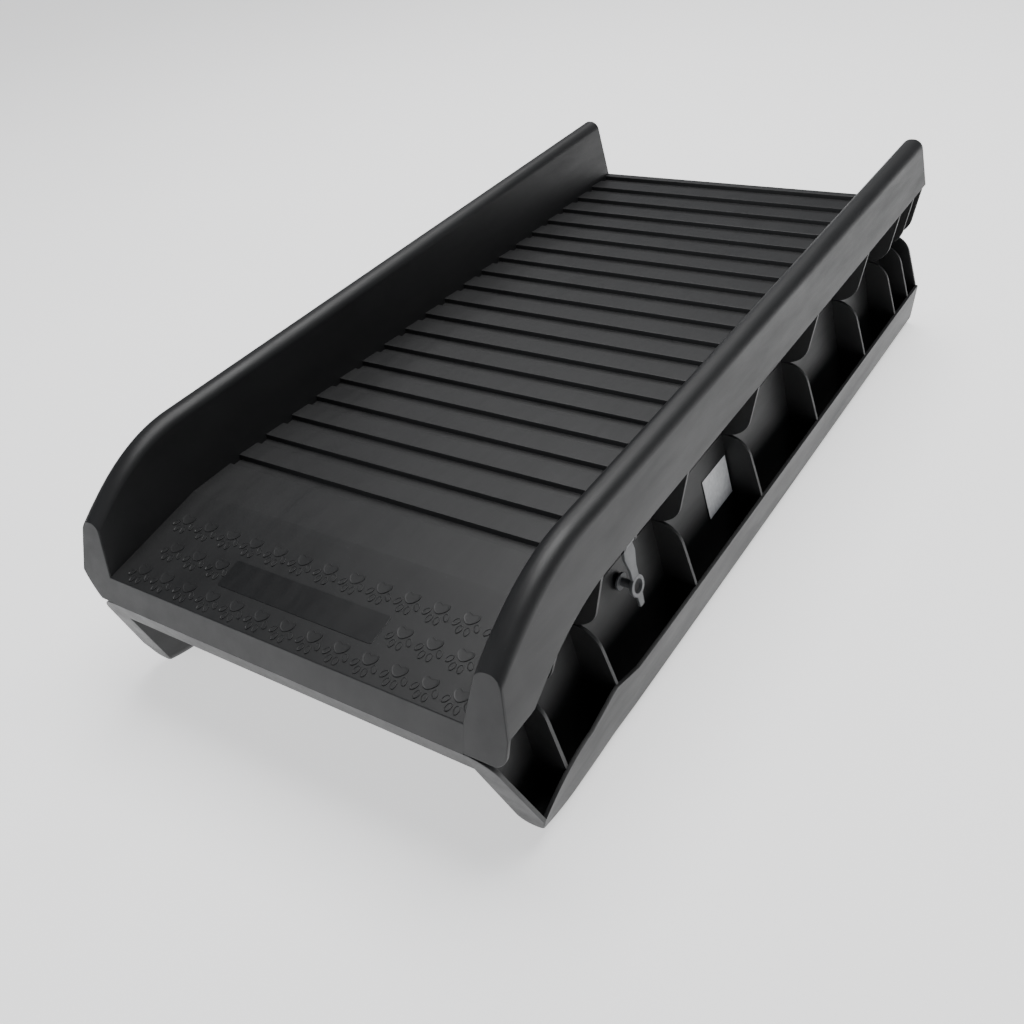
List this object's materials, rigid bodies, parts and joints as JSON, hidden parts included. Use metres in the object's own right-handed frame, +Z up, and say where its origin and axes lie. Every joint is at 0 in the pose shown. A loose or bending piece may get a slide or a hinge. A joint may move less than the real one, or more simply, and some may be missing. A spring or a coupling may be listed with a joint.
{
  "type": "folding dog ramp",
  "caption": "Two-part folding dog ramp, folded flat: moulded treads with raised planks between tall side rails, hinged on a rod and held shut by side straps.",
  "frame": {"origin": "on the floor, under the middle of the folded ramp's box", "axes": "+Z up, +Y along the ramp towards its hinge, +X to the right when looking along +Y"},
  "size_m": [0.4, 0.785, 0.2],
  "materials": {
    "black_shell": "satin, faint flow marks",
    "grey_strap": "satin",
    "steel": "drawn wire",
    "black_rubber": "matte"
  },
  "bodies": {
    "lower_half": {"lower_tread": "black_shell", "lower_end_lip": "black_shell", "lower_hinge_wall": "black_shell", "lower_rib_1": "black_shell", "lower_rib_2": "black_shell", "lower_rib_3": "black_shell", "lower_rib_4": "black_shell", "lower_rib_5": "black_shell", "lower_rib_6": "black_shell", "lower_rib_7": "black_shell", "lower_rib_8": "black_shell", "lower_rail_left": "black_shell", "lower_rail_right": "black_shell", "lower_foot_left": "black_rubber", "lower_foot_right": "black_rubber", "latch_peg_left": "grey_strap", "latch_peg_right": "grey_strap", "hinge_rod_cap_left": "black_rubber", "hinge_rod_cap_right": "black_rubber", "hinge_rod": "steel"},
    "upper_half": {"upper_tread": "black_shell", "upper_end_lip": "black_shell", "upper_hinge_wall": "black_shell", "upper_rib_1": "black_shell", "upper_rib_2": "black_shell", "upper_rib_3": "black_shell", "upper_rib_4": "black_shell", "upper_rib_5": "black_shell", "upper_rib_6": "black_shell", "upper_rib_7": "black_shell", "upper_rib_8": "black_shell", "upper_rail_left": "black_shell", "upper_rail_right": "black_shell", "upper_foot_left": "black_rubber", "upper_foot_right": "black_rubber", "latch_bracket_left": "black_shell", "latch_bracket_right": "black_shell", "latch_pin_left": "steel", "latch_pin_right": "steel"},
    "strap_left": {"latch_strap_left": "grey_strap"},
    "strap_right": {"latch_strap_right": "grey_strap"}
  },
  "joints": [
    {"name": "fold", "type": "hinge", "parent": "lower_half", "child": "upper_half", "pos_m": [0, 0.3845, 0.1], "axis": [-1, 0, 0], "range_deg": [0, 180]},
    {"name": "strap_swing_right", "type": "hinge", "parent": "upper_half", "child": "strap_right", "pos_m": [0.176, -0.2, 0.126], "axis": [0, -1, 0], "range_deg": [-8, 70]},
    {"name": "strap_swing_left", "type": "hinge", "parent": "upper_half", "child": "strap_left", "pos_m": [-0.176, -0.2, 0.126], "axis": [0, 1, 0], "range_deg": [-8, 70]}
  ]
}
